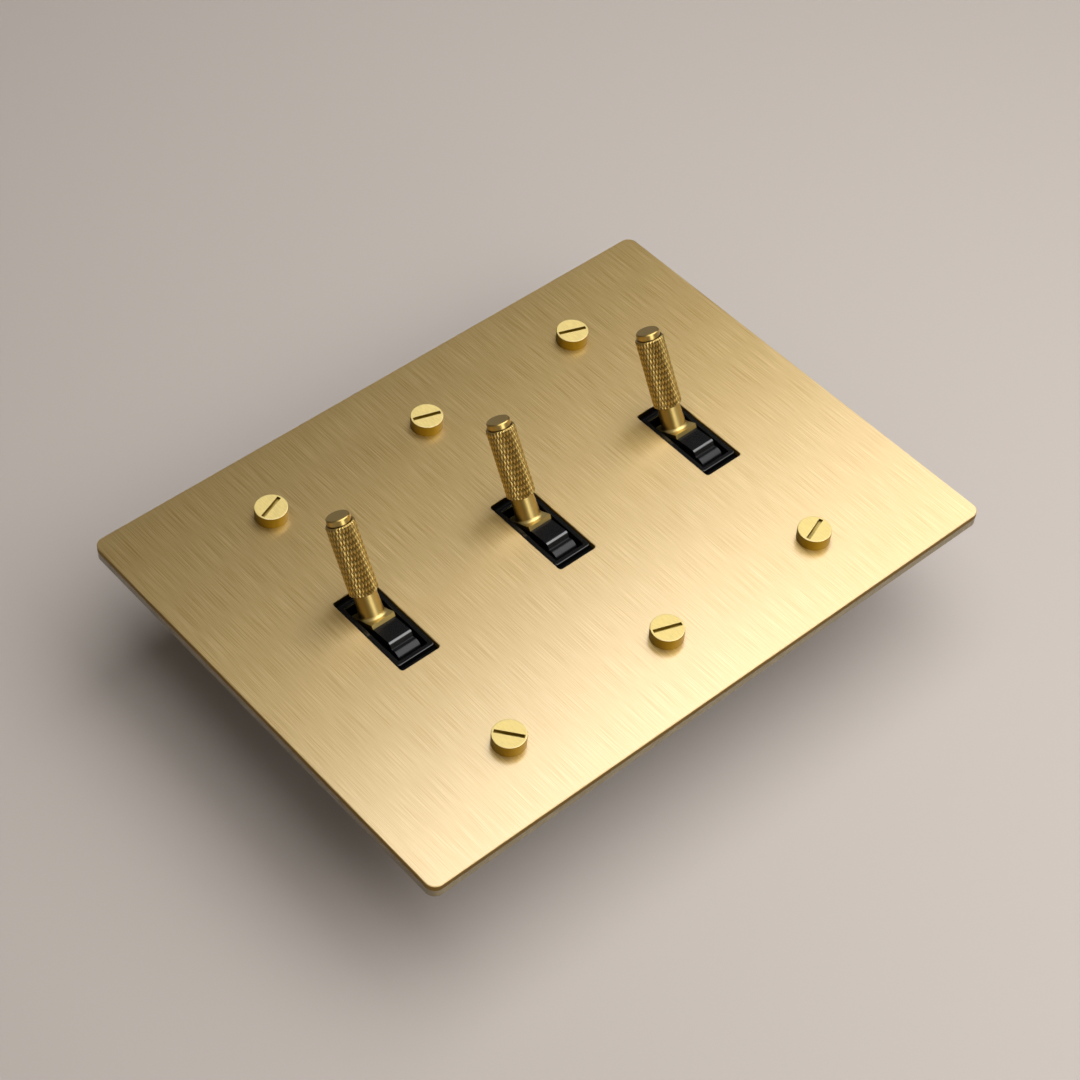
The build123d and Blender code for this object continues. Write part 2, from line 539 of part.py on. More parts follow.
# Body rivets: flush countersunk ends in the strap, flat heads in the pockets of the base
RIVET_FOOT = BODY_BACK + RIVET_POCKET
RIVET_SINK = RIVET_HEAD_RADIUS - RIVET_RADIUS
with BuildPart() as body_rivets:
    with Locations((0, RIVET_Y, RIVET_FOOT), (0, -RIVET_Y, RIVET_FOOT)):
        Cylinder(RIVET_RADIUS, STRAP_THICK - RIVET_FOOT, align=(Align.CENTER, Align.CENTER, Align.MIN))
        Cylinder(RIVET_HEAD_RADIUS, RIVET_HEAD_HEIGHT, align=(Align.CENTER, Align.CENTER, Align.MAX))
    with Locations((0, RIVET_Y, STRAP_THICK), (0, -RIVET_Y, STRAP_THICK)):
        Cone(RIVET_RADIUS, RIVET_HEAD_RADIUS, RIVET_SINK, align=(Align.CENTER, Align.CENTER, Align.MAX))

# The pieces that span the plate
plate_pieces = {
    "front_plate": front_plate,
    "backing_plate": backing_plate,
    "fixing_screws": fixing_screws,
}
for name, piece in plate_pieces.items():
    piece.part.label = name
    export_step(piece.part, f"parts/{name}.step")

# One group of small fasteners for all gangs
gang_fasteners = {
    "terminal_screws": terminal_screws,
    "earth_screws": earth_screw,
    "body_rivets": body_rivets,
}
for name, piece in gang_fasteners.items():
    with BuildPart() as group:
        with Locations(*[(x, 0, 0) for x in COLUMNS]):
            add(piece.part)
    group.part.label = name
    export_step(group.part, f"parts/{name}.step")

# One switch per gang
switch_pieces = {
    "strap": strap,
    "front_cover": front_cover,
    "base": base,
    "rocker": rocker,
    "lever_foot": lever_foot,
    "lever_grip": lever_grip,
    "lever_stud": lever_stud,
    "snap_spring": snap_spring,
    "line_terminal": line_terminal,
    "load_terminal": load_terminal,
    "contact_arm": contact_arm,
}
for gang, x in GANGS.items():
    for name, piece in switch_pieces.items():
        placed = piece.part.moved(Location((x, 0, 0)))
        placed.label = f"{gang}_{name}"
        export_step(placed, f"parts/{gang}_{name}.step")
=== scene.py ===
# %% [markdown]
# # A brass toggle switch, seen as in its photograph
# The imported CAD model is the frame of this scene: every solid already stands in its place, in metres, with
# the wall plane at z = 0 and the levers towards +Z. This lesson leaves the solids as they are. It adds the
# camera, the finishes and the light, and it remakes the two kinds of piece whose surface is too fine for
# the solids: the knurled grips and the threaded fixing screws.

# %% Load the frame
import json
from math import cos, pi, radians, sin

import bmesh
import bpy
import numpy as np
from mathutils import Matrix, Quaternion, Vector


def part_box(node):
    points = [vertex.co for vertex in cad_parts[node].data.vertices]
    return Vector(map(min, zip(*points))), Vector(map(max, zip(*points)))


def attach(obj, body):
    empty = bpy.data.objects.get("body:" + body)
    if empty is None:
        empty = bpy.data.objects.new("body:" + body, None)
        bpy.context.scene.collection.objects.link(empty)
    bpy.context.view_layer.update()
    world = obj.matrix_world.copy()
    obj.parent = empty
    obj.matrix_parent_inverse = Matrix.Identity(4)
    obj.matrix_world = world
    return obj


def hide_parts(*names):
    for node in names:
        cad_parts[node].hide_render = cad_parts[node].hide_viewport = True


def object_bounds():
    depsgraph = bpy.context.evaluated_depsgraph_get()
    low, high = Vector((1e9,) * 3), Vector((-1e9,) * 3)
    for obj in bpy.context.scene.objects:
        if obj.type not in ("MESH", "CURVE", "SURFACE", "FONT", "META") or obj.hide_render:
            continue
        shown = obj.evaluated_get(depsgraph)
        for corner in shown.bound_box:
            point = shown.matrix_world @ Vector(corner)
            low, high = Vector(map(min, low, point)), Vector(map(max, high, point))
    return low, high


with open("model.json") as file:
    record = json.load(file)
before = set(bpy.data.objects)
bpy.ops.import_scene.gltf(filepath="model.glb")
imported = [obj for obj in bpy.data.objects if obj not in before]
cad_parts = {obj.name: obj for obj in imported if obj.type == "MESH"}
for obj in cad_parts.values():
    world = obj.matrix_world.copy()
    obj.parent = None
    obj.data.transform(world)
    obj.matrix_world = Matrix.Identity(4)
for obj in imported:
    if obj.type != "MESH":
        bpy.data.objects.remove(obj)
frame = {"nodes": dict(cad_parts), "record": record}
nodes = frame["nodes"]
scene = bpy.context.scene
cad_box = [list(map(float, corner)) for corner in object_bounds()]
MM = 0.001
GANG_PITCH = 46.04
GANGS = {"left": -GANG_PITCH * MM, "middle": 0.0, "right": GANG_PITCH * MM}
PLATE_TOP = float(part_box("front_plate")[1][2])
print("nodes", len(nodes), "with the plate's face at", round(PLATE_TOP / MM, 2), "mm")

# %% [markdown]
# ## The camera
# The photograph was taken from above and to one side, with a long lens. A camera could be set by eye, but
# six screw heads, three openings and the plate's edges fix it once the gang pitch and the screw spacing are
# known, so it was worked out from those. It stands about 58 cm from the plate, looks down at 49 degrees and
# is rolled by under three degrees. A small sideways shift of the lens keeps the plate where the photo has it.

# %% Place the camera
SENSOR_WIDTH = 36.0
LENS = 85.03
SIDE_SHIFT = 0.037
FROM_FACE = np.array([-269.72, -279.63, 436.73]) * MM
LOOK = Vector((0.44638, 0.48621, -0.75123))
ROLL = radians(2.63)

camera_data = bpy.data.cameras.new("photo_camera")
camera_data.sensor_width = SENSOR_WIDTH
camera_data.lens = LENS
camera_data.shift_x = SIDE_SHIFT
camera = bpy.data.objects.new("photo_camera", camera_data)
camera.location = FROM_FACE + (0, 0, PLATE_TOP)
camera.rotation_euler = (LOOK.to_track_quat("-Z", "Y") @ Quaternion((0, 0, 1), ROLL)).to_euler()
scene.collection.objects.link(camera)
scene.camera = camera
print("camera at", [round(c, 4) for c in camera.location], "with a lens of", LENS, "mm")

# %% [markdown]
# ## Small helpers for materials
# Colours are written as sRGB hex, as a colour picker gives them, but shaders count in linear light, so one
# function turns the one into the other. A second function adds a shader node: what it is given for a socket
# is either a constant or another node's output, which it links.

# %% Colours and nodes


def linear(hexcode):
    """sRGB hex to linear RGBA: each channel c becomes ((c + 0.055) / 1.055) ** 2.4, or c / 12.92 if small."""
    channels = np.array([int(hexcode[i:i + 2], 16) for i in (0, 2, 4)]) / 255.0
    low = channels / 12.92
    high = ((channels + 0.055) / 1.055) ** 2.4
    return (*np.where(channels <= 0.04045, low, high).tolist(), 1.0)


def add(tree, kind, sockets=None, **settings):
    """Adds one node to a tree, sets its options, and fills or links its sockets."""
    made = tree.nodes.new(kind)
    for name, value in settings.items():
        setattr(made, name, value)
    for name, value in (sockets or {}).items():
        if isinstance(value, bpy.types.NodeSocket):
            tree.links.new(value, made.inputs[name])
        else:
            made.inputs[name].default_value = value
    return made


def new_material(name):
    """A new material, returned with its node tree and its principled shader."""
    made = bpy.data.materials.new(name)
    made.use_nodes = True
    return made, made.node_tree, made.node_tree.nodes["Principled BSDF"]


print("the middle grey 808080 is", round(linear("808080")[0], 3), "in linear light")

# %% [markdown]
# ## Patterns that the finishes share
# No real surface has one flat tone. Noise stretched along Y gives brush lines and rolling streaks, and the
# direction of a face tells the fronts from the side walls, so that light and shade can be painted on them.
# Painted images could do the same, but noise in object coordinates needs no unwrapping, has a size in
# millimetres and stays with its piece.

# %% Streaks and facing
USUAL_NOISE = (0.3, 0.7)
FRONT_STEP = (0.4, 0.6)


def streaks(tree, across_mm, along_mm):
    """Noise stretched along Y: each object coordinate is divided by the size of a cell along that axis."""
    where = add(tree, "ShaderNodeTexCoord").outputs["Object"]
    scale = (1 / (across_mm * MM), 1 / (along_mm * MM), 1 / (across_mm * MM))
    spot = add(tree, "ShaderNodeMapping", {"Vector": where, "Scale": scale}).outputs["Vector"]
    return add(tree, "ShaderNodeTexNoise", {"Vector": spot, "Scale": 1.0, "Detail": 3.0}).outputs["Fac"]


def wander(tree, noise, low, high):
    """A value that wanders from low to high, as the noise goes through its usual range."""
    sockets = {"Value": noise, "From Min": USUAL_NOISE[0], "From Max": USUAL_NOISE[1]}
    sockets |= {"To Min": low, "To Max": high}
    return add(tree, "ShaderNodeMapRange", sockets).outputs["Result"]


def upward(tree):
    """The Z of a face's normal: 1 on faces turned to the front, 0 on side walls."""
    normal = add(tree, "ShaderNodeNewGeometry").outputs["Normal"]
    return add(tree, "ShaderNodeSeparateXYZ", {"Vector": normal}).outputs["Z"]


def facing(tree):
    """1 on faces turned to the front and 0 on side walls: the normal's Z, ramped over the front step."""
    sockets = {"Value": upward(tree), "From Min": FRONT_STEP[0], "From Max": FRONT_STEP[1]}
    return add(tree, "ShaderNodeMapRange", sockets).outputs["Result"]


print("a face counts as front where its normal's Z is over", FRONT_STEP[1])

# %% [markdown]
# ## The plate: brushed brass
# The plate is brass sheet, brushed along its short side and lacquered. The eye sees fine lines along Y, a
# highlight that is smeared across them, and a pale veil where the lacquer mirrors the lamp. A picture of
# scratches would hold for one light only. Here stretched noise drives colour, roughness and a slight bump,
# the shader's own anisotropy smears the highlight, and its coat is the lacquer.

# %% Brushed brass
# Real brush lines are a few hundredths of a millimetre wide, so these are drawn coarser, to show
BRUSH_LINE = (0.09, 12.0)
BROAD_BAND = (1.1, 30.0)
BRUSH_DEPTH = 0.01 * MM
LINE_ROUGHNESS = (0.47, 0.58)
BAND_CHANGE = (-0.006, 0.006)

brushed, tree, shader = new_material("brass sheet, brushed along Y")
fine = streaks(tree, *BRUSH_LINE)
broad = streaks(tree, *BROAD_BAND)
lines = {"Factor": wander(tree, fine, 0.0, 1.0), "A": linear("CFA64E"), "B": linear("F8DD9A")}
lines = add(tree, "ShaderNodeMix", lines, data_type="RGBA").outputs["Result"]
# The cut edges and the walls of the openings get a dark brown that is painted shade; only faces turned to the
# front are brushed
front = facing(tree)
colour = {"Factor": front, "A": linear("8A6C2C"), "B": lines}
colour = add(tree, "ShaderNodeMix", colour, data_type="RGBA").outputs["Result"]
# The change of roughness from line to line is what the eye reads as brushing
grain = {0: wander(tree, fine, *LINE_ROUGHNESS), 1: wander(tree, broad, *BAND_CHANGE)}
grain = add(tree, "ShaderNodeMath", grain, operation="ADD").outputs[0]
across = add(tree, "ShaderNodeCombineXYZ", {"X": 1.0}).outputs["Vector"]
bump = add(tree, "ShaderNodeBump", {"Height": fine, "Strength": 0.12, "Distance": BRUSH_DEPTH})
tree.links.new(colour, shader.inputs["Base Color"])
tree.links.new(grain, shader.inputs["Roughness"])
tree.links.new(across, shader.inputs["Tangent"])
tree.links.new(bump.outputs["Normal"], shader.inputs["Normal"])
shader.inputs["Metallic"].default_value = 1.0
shader.inputs["Anisotropic"].default_value = 0.68
# The lacquer adds a colourless veil where the light is strongest
tree.links.new(front, shader.inputs["Coat Weight"])
shader.inputs["Coat Roughness"].default_value = 0.25
shader.inputs["Coat IOR"].default_value = 2.15
print(brushed.name, "has lines", BRUSH_LINE[0], "mm wide and about", BRUSH_LINE[1], "mm long")

# %% [markdown]
# ## A finish between two looks
# Every other surface of the switch has two looks: plating is cloudy, a mould leaves a grain, and on turned
# brass a darker copy of the finish is painted shade in grooves, in the slot and on side walls, while a paler
# copy is painted light on open faces turned to the front. Each could be a network of its own, but one
# function that mixes two looks makes them all. It is given the share of the paler look as a function too: how
# open a spot is, which way its face is turned, or plain noise.

# %% Mix two looks


def two_tone(name, dull_and_shaded, clean_and_lit, share, metallic=1.0, **sockets):
    """A finish between two looks, each a colour and a roughness: look = first + share * (second - first). The
    first is a darker look and the second a paler one; where the share follows how open a spot is or which way
    it faces, they are painted shade and painted light. The share is a function of the tree. Other sockets go
    by name, with underscores for spaces."""
    made, tree, shader = new_material(name)
    part = share(tree)
    tint = {"Factor": part, "A": linear(dull_and_shaded[0]), "B": linear(clean_and_lit[0])}
    tint = add(tree, "ShaderNodeMix", tint, data_type="RGBA").outputs["Result"]
    blur = {"Value": part, "To Min": dull_and_shaded[1], "To Max": clean_and_lit[1]}
    blur = add(tree, "ShaderNodeMapRange", blur).outputs["Result"]
    tree.links.new(tint, shader.inputs["Base Color"])
    tree.links.new(blur, shader.inputs["Roughness"])
    shader.inputs["Metallic"].default_value = metallic
    for key, value in sockets.items():
        shader.inputs[key.replace("_", " ")].default_value = value
    return made


def cells(across_mm, along_mm):
    """A share that wanders from 0 to 1 in cells of the given size."""
    return lambda tree: wander(tree, streaks(tree, across_mm, along_mm), 0.0, 1.0)


def recess_shade(tree, reach_mm, closed, opened):
    """A share for painted shade in hollows: 0 deep in a hollow and 1 in the open, the share of sky within
    reach, ramped from closed to opened.
    """
    seen = add(tree, "ShaderNodeAmbientOcclusion", {"Distance": reach_mm * MM}, samples=6, only_local=True)
    sockets = {"Value": seen.outputs["AO"], "From Min": closed, "From Max": opened}
    return add(tree, "ShaderNodeMapRange", sockets).outputs["Result"]


print("shares at hand:", facing.__name__, cells.__name__, recess_shade.__name__)

# %% [markdown]
# ## Stamped and plated metals, and the clear sheet
# Terminals are stamped from rolled brass strip, straps and earth screws are plated steel, and the backing is
# clear acrylic whose colour is given a gold cast, a painted reflection of the brass on top of it. Little of
# them is seen, so noise alone is share enough: long cells for rolling streaks, square ones for cloudy
# plating.

# %% Strip, plating, steel and acrylic
# Rolled strip: faint streaks along its length
terminal = two_tone("brass strip, stamped", ("A8873F", 0.42), ("D6B46E", 0.26), cells(0.5, 5.0))
# Yellow zinc: a cloudy, greyish gold
zinc = two_tone("steel sheet, yellow zinc", ("8E7A4C", 0.48), ("BCA064", 0.30), cells(4.0, 4.0))
# Green plating: marks the earth screws
green = two_tone("steel screw, green plated", ("235F36", 0.44), ("38905A", 0.28), cells(0.8, 0.8))
# Bright steel: fine drawing lines
steel = two_tone("steel, bright", ("9A9A98", 0.40), ("C8C8C7", 0.24), cells(0.3, 2.0))
# Clear sheet: an edge between grey and gold, the gold a painted reflection of the brass above it, with
# clearer and hazier patches
acrylic = two_tone("acrylic sheet, clear", ("C6B080", 0.10), ("D6C294", 0.05), cells(3.0, 3.0),
                   metallic=0.0, IOR=1.49, Transmission_Weight=0.72)
print("made", "; ".join(made.name for made in (terminal, zinc, green, steel, acrylic)))

# %% [markdown]
# ## Polish on part of a surface
# Some edges are burnished by use or by the tool and catch the light as a thin line. They could be faces with
# a material of their own, but a clear coat on a band of values needs no second material: a band of face
# directions, of heights, or of distances along a lever.

# %% Polish a band


def polish(made, value, middle, near, far, roughness, ior, inside=1.0):
    """A clear coat on part of a finish. Its weight is inside where the value is within near of the middle,
    1 - inside where it is further away than far, and ramps between them."""
    tree = made.node_tree
    shader = tree.nodes["Principled BSDF"]
    off = add(tree, "ShaderNodeMath", {0: value, 1: middle}, operation="SUBTRACT").outputs[0]
    off = add(tree, "ShaderNodeMath", {0: off}, operation="ABSOLUTE").outputs[0]
    band = {"Value": off, "From Min": near, "From Max": far, "To Min": inside, "To Max": 1.0 - inside}
    weight = add(tree, "ShaderNodeMapRange", band).outputs["Result"]
    tree.links.new(weight, shader.inputs["Coat Weight"])
    shader.inputs["Coat Roughness"].default_value = roughness
    shader.inputs["Coat IOR"].default_value = ior


def distance_along(tree, direction):
    """How far a point lies along a direction: the dot product of its object coordinates with it."""
    where = add(tree, "ShaderNodeTexCoord").outputs["Object"]
    product = add(tree, "ShaderNodeVectorMath", {0: where, 1: direction}, operation="DOT_PRODUCT")
    return product.outputs["Value"]


print("bands at hand:", upward.__name__, distance_along.__name__)

# %% [markdown]
# ## Turned brass
# Screws, levers and grips are turned from brass bar. Light and shade are painted into their colour: it is
# darker on side walls and in the slot and the grooves, which see little sky or are turned away from the
# front, and paler on open faces turned to the front. Marks of the cutter add a real unevenness to the faced
# tops.

# %% Screws, levers and grips
SLOT_REACH = 1.5
SLOT_SKY = (0.28, 0.80)
GROOVE_REACH = 0.4
GROOVE_SKY = (0.66, 1.0)
CUTTER_MARK = (0.3, 1.6)
MARK_SHARE = (0.82, 1.0)


def lit_face_and_cutter_marks(tree):
    """Painted light on open faces turned to the front, painted shade in the slot and on side walls, and real
    marks of the cutter: three shares multiplied.
    """
    marks = wander(tree, streaks(tree, *CUTTER_MARK), *MARK_SHARE)
    share = facing(tree)
    for part in (recess_shade(tree, SLOT_REACH, *SLOT_SKY), marks):
        share = add(tree, "ShaderNodeMath", {0: share, 1: part}, operation="MULTIPLY").outputs[0]
    return share


def crown(tree):
    """A share for painted shade in the knurl: 1 on its open crowns and 0 in its grooves."""
    return recess_shade(tree, GROOVE_REACH, *GROOVE_SKY)


# Faced top: pale and soft, with painted shade making the sides and the slot dark, and a bright line round the
# head's edge
screw_brass = two_tone("brass bar, faced top", ("826C1A", 0.40), ("EBDA9A", 0.80), lit_face_and_cutter_marks)
slope = upward(screw_brass.node_tree)
polish(screw_brass, slope, middle=0.75, near=0.15, far=0.25, roughness=0.15, ior=2.0)
# Turned bright: a satin neck and flange, paler on faces turned to the front and darker on the sides, as
# painted light and shade
lever_brass = two_tone("brass bar, turned bright", ("907A42", 0.38), ("CDB676", 0.42), facing)
# Knurled: pale crowns, and grooves painted dark brown as shade
knurl_brass = two_tone("brass bar, knurled", ("382608", 0.40), ("B89E5E", 0.30), crown)
print("made", "; ".join(made.name for made in (screw_brass, lever_brass, knurl_brass)))

# %% [markdown]
# ## Black mouldings
# Cover, base and rocker are black phenolic mouldings. The cover is glossy, but it looks quite black where
# it stands in the plate's opening, so it is matt there: its coat leaves out a band of heights. The rocker is
# satin, and only the ridge that fingers meet is polished: its coat is a band of distances along the lever.

# %% Cover, base and rocker
MOULD_GRAIN = 0.2
BASE_GRAIN = 0.25
PLINTH_MIDDLE = PLATE_TOP - 1.975 * MM
TILT = radians(28.0)
PIVOT_Z = PLATE_TOP - 10.0 * MM
RIDGE_HEIGHT = 6.95 * MM

# Glossy black, and matt in the opening, which keeps the gap round the rim dark
cover_black = two_tone("phenolic moulding, black, glossy", ("050505", 0.52), ("080808", 0.46),
                       cells(MOULD_GRAIN, MOULD_GRAIN), metallic=0.0, Specular_IOR_Level=0.05)
above_wall = distance_along(cover_black.node_tree, (0, 0, 1))
polish(cover_black, above_wall, middle=PLINTH_MIDDLE, near=1.20 * MM, far=1.35 * MM,
       roughness=0.08, ior=1.5, inside=0.0)
# Satin black with the fine grain of its mould
base_black = two_tone("phenolic moulding, black, satin", ("0E0E0F", 0.46), ("171718", 0.30),
                      cells(BASE_GRAIN, BASE_GRAIN), metallic=0.0)
# Satin black, with a bright line along the polished ridge
rocker_black = two_tone("phenolic moulding, black, ridge polished", ("0A0A0B", 0.30), ("0C0C0D", 0.26),
                        cells(MOULD_GRAIN, MOULD_GRAIN), metallic=0.0, Specular_IOR_Level=0.3)
along_lever = distance_along(rocker_black.node_tree, (0, sin(TILT), cos(TILT)))
polish(rocker_black, along_lever, middle=RIDGE_HEIGHT + PIVOT_Z * cos(TILT), near=0.20 * MM, far=0.45 * MM,
       roughness=0.14, ior=1.7)
print("made", "; ".join(made.name for made in (cover_black, base_black, rocker_black)))

# %% [markdown]
# ## Finishes on the solids
# The record names a material slot for each node, and this table says which finish a slot gets. The bases
# share their slot with the covers, but they have no matt band, so they get their own finish afterwards.

# %% Put the finishes on
finish_of = {
    "brushed_brass": brushed,
    "clear_acrylic": acrylic,
    "screw_brass": screw_brass,
    "lever_brass": lever_brass,
    "knurled_brass": knurl_brass,
    "black_moulding": cover_black,
    "rocker_moulding": rocker_black,
    "yellow_zinc_steel": zinc,
    "terminal_brass": terminal,
    "green_plated_steel": green,
    "rivet_steel": steel,
    "stud_steel": steel,
    "spring_steel": steel,
}
for row in frame["record"]["subparts"]:
    nodes[row["node"]].material_slots[0].material = finish_of[row["material_slot"]]
for gang in GANGS:
    nodes[f"{gang}_base"].material_slots[0].material = base_black

# %% [markdown]
# ## From grid to mesh
# Grips and screws are round bars, so each is one sheet of points wrapped round an axis: rows go along the
# profile and columns go round. A modifier could turn a plain profile into a bar, but not one with a knurl
# or a slot, and a sheet of computed points takes any pattern. This helper joins neighbours into quads and
# merges points that coincide, which closes the sheet at both ends. Faces point outwards where the rows go up
# the axis and the columns go round it anticlockwise, seen from its upper end.

# %% Wrap a grid of points
CREASE_DEGREES = 32
MERGE_REACH = 0.001 * MM


def wrapped_mesh(name, grids, finish):
    """One object from grids of shape (rows, columns, 3). A face joins a point, its right neighbour and the
    two in the next row; the last column's right neighbour is the first. Points that coincide become one."""
    points, faces, start = [], [], 0
    for grid in grids:
        rows, columns = grid.shape[:2]
        at = start + np.arange(rows * columns).reshape(rows, columns)
        right = np.roll(at, -1, axis=1)
        faces.append(np.stack([at[:-1], right[:-1], right[1:], at[1:]], axis=-1).reshape(-1, 4))
        points.append(grid.reshape(-1, 3))
        start += rows * columns
    mesh = bpy.data.meshes.new(name)
    mesh.from_pydata(np.concatenate(points).tolist(), [], np.concatenate(faces).tolist())
    skin = bmesh.new()
    skin.from_mesh(mesh)
    bmesh.ops.remove_doubles(skin, verts=skin.verts, dist=MERGE_REACH)
    skin.to_mesh(mesh)
    skin.free()
    mesh.materials.append(finish)
    mesh.shade_smooth()
    mesh.set_sharp_from_angle(angle=radians(CREASE_DEGREES))
    made = bpy.data.objects.new(name, mesh)
    scene.collection.objects.link(made)
    return made


print("edges of over", CREASE_DEGREES, "degrees stay sharp")

# %% [markdown]
# ## The knurled grip
# A pair of wheels rolls crossing grooves into the turned bar, and rows of long diamonds are left. Diamonds
# could be set one by one, but there are hundreds, so here the radius is a formula. Two families of grooves
# cross at sixteen degrees to the axis. With u and v counting the grooves of each family, a point's height
# is the lesser of two sine waves, bent so that the flanks are straight and the crown is a little round.

# %% The height of the knurl
DIAMONDS = 27
AXIAL_PITCH = 2.78
KNURL_DEPTH = 0.25
FLANK = 0.90


def knurl(angle, along):
    """1 on a diamond's crown, 0 in a groove: arcsin(FLANK * w) / arcsin(FLANK), where w is the lesser of
    |sin(pi u)| and |sin(pi v)|, and u and v are turn + along / pitch and turn - along / pitch."""
    turn = DIAMONDS * angle / (2 * pi)
    u = turn + along / AXIAL_PITCH
    v = turn - along / AXIAL_PITCH
    wave = np.minimum(np.abs(np.sin(pi * u)), np.abs(np.sin(pi * v)))
    return np.arcsin(FLANK * wave) / np.arcsin(FLANK)


print("knurl of", DIAMONDS, "grooves each way,", KNURL_DEPTH, "mm deep")

# %% [markdown]
# ## The grip's profile
# The sheet of a grip starts at the end of its blind bore, comes out over the lower face, runs up the knurl
# and closes over the smooth tip. A point of the profile is a distance along the lever from its pivot, and a
# radius, both in millimetres. A corner has a point on each side of it, so that it shades as a broken edge.

# %% Profile below and above the knurl
GRIP_RADIUS = 3.45
GRIP_START = 16.4
GRIP_END = 34.2
START_FACE = 3.05
END_FACE = 3.10
TIP_END = 35.8
TIP_RADIUS = 2.80
TIP_CHAMFER = 0.24
BORE_END = GRIP_START + 8.2
BORE_RADIUS = 1.6
BREAK = 0.02

below = np.array([
    (BORE_END, 0.0),
    (BORE_END, BORE_RADIUS),
    (GRIP_START, BORE_RADIUS),
    (GRIP_START, START_FACE - 5 * BREAK),
    (GRIP_START + BREAK, START_FACE),
])
above = np.array([
    (GRIP_END - BREAK, END_FACE),
    (GRIP_END, END_FACE - 5 * BREAK),
    (GRIP_END, TIP_RADIUS + 2 * BREAK),
    (GRIP_END + BREAK, TIP_RADIUS),
    (TIP_END - TIP_CHAMFER - 2 * BREAK, TIP_RADIUS),
    (TIP_END - TIP_CHAMFER, TIP_RADIUS),
    (TIP_END - TIP_CHAMFER + 2 * BREAK, TIP_RADIUS - 1.5 * BREAK),
    (TIP_END - BREAK, TIP_RADIUS - TIP_CHAMFER + BREAK),
    (TIP_END, TIP_RADIUS - TIP_CHAMFER - BREAK),
    (TIP_END, TIP_RADIUS - TIP_CHAMFER - 3 * BREAK),
    (TIP_END, 0.0),
])
print("grip", round(GRIP_END - GRIP_START, 2), "mm long, with a tip of", round(TIP_END - GRIP_END, 2), "mm")

# %% [markdown]
# ## Three grips
# All three grips are one sheet, moved to their gangs. The sheet is the lever's axis times the distance along
# it, plus the outward direction times the radius. The grips ride on their toggles and stand in for the plain
# grips of the CAD model.

# %% Build the grips
CHAMFER = 0.30
COLUMNS_PER_DIAMOND = 14
ROWS_PER_PITCH = 28

columns = DIAMONDS * COLUMNS_PER_DIAMOND
angle = np.arange(columns) * 2 * pi / columns
band = np.arange(GRIP_START + CHAMFER, GRIP_END - CHAMFER, AXIAL_PITCH / ROWS_PER_PITCH)
along = np.concatenate([below[:, 0], band, above[:, 0]])
radius = np.concatenate([
    np.repeat(below[:, 1:], columns, axis=1),
    GRIP_RADIUS - KNURL_DEPTH * (1 - knurl(angle[None, :], band[:, None])),
    np.repeat(above[:, 1:], columns, axis=1),
])
axis = np.array([0, sin(TILT), cos(TILT)])
side_a = np.array([1.0, 0, 0])
side_b = np.array([0, cos(TILT), -sin(TILT)])
outward = np.cos(angle)[:, None] * side_a + np.sin(angle)[:, None] * side_b
grip_sheet = (along[:, None, None] * axis + radius[..., None] * outward) * MM
for gang, x in GANGS.items():
    placed = grip_sheet + np.array([x, 0, PIVOT_Z])
    grip = wrapped_mesh(f"{gang}_knurled_grip", [placed], knurl_brass)
    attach(grip, f"{gang}_toggle")
    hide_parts(f"{gang}_lever_grip")
print("each grip has", len(grip.data.vertices), "points, outer radius", round(float(radius.max()), 3), "mm")

# %% [markdown]
# ## The fixing screws
# A fixing screw has a slotted cheese head and a threaded shank. A slot could be cut with a boolean, which
# leaves ragged faces. Here the screw is one sheet of rings too: it starts on the slot's floor, climbs the
# slot's blunt-ended walls, crosses the flat of the head, rounds its edge, drops down the side and runs
# along the relief and the thread to the tip.

# %% Rings of the slot and the thread
SCREW_COLUMNS = 60
SLOT_LENGTH = 6.9
SLOT_WIDTH = 0.95
SLOT_DEPTH = 1.05
CUTTER_RADIUS = 20.0
THREAD_RADIUS = 1.75
THREAD_PITCH = 0.794
THREAD_DEPTH = 0.36
THREAD_END = -21.5
POINT_RADIUS = 1.15
RINGS_PER_PITCH = 5
ring = np.arange(SCREW_COLUMNS) * 2 * pi / SCREW_COLUMNS


def circles(radius, height):
    """One ring for each row of radius and height: x = r cos(a), y = r sin(a), z = height."""
    return np.stack([radius * np.cos(ring), radius * np.sin(ring), height + 0 * ring], axis=-1)


def slot_rings(top):
    """Three rings: the floor's middle line, the floor's outline and the mouth. The outline is a rectangle,
    x = L / 2 cos(a) and y = W / 2 sign(sin(a)), and the floor follows the arc of the cutter."""
    x = SLOT_LENGTH / 2 * np.cos(ring)
    y = SLOT_WIDTH / 2 * np.sign(np.round(np.sin(ring), 6))
    bed = top - SLOT_DEPTH + CUTTER_RADIUS - np.sqrt(CUTTER_RADIUS ** 2 - x ** 2)
    middle = np.stack([x, 0 * y, bed], axis=-1)
    outline = np.stack([x, y, bed], axis=-1)
    mouth = np.stack([x, y, 0 * x + top], axis=-1)
    return np.stack([middle, outline, mouth])


def thread_rings():
    """Rings from the wall plane to the tip. The radius is the crest's less depth times |2 t - 1|, where t is
    the fraction left of z / pitch - a / 2 pi, and no more than that of the cone at the point."""
    z = np.arange(0.0, THREAD_END, -THREAD_PITCH / RINGS_PER_PITCH)[:, None]
    turn = (z / THREAD_PITCH - ring / (2 * pi)) % 1.0
    crest = THREAD_RADIUS - THREAD_DEPTH * np.abs(2 * turn - 1)
    return circles(np.minimum(crest, POINT_RADIUS + z - THREAD_END), z)


print("the thread has", len(thread_rings()), "rings, and the slot is", SLOT_DEPTH, "mm deep")

# %% [markdown]
# ## One whole screw
# The head is a turned profile of radius and height. Its edge is a round of three points, with one more just
# outside on each side, so that the flat top and the straight side shade as flat and straight.

# %% The sheet of a screw
HEAD_RADIUS = 3.95
HEAD_HEIGHT = 3.0
EDGE_ROUND = 0.2
EDGE_HOLD = 0.24
# The middle of a round lies about 0.3 of its radius in from the corner, 1 - cos(45 degrees)
ROUND_MIDDLE = 0.3 * EDGE_ROUND
RELIEF_RADIUS = 1.5

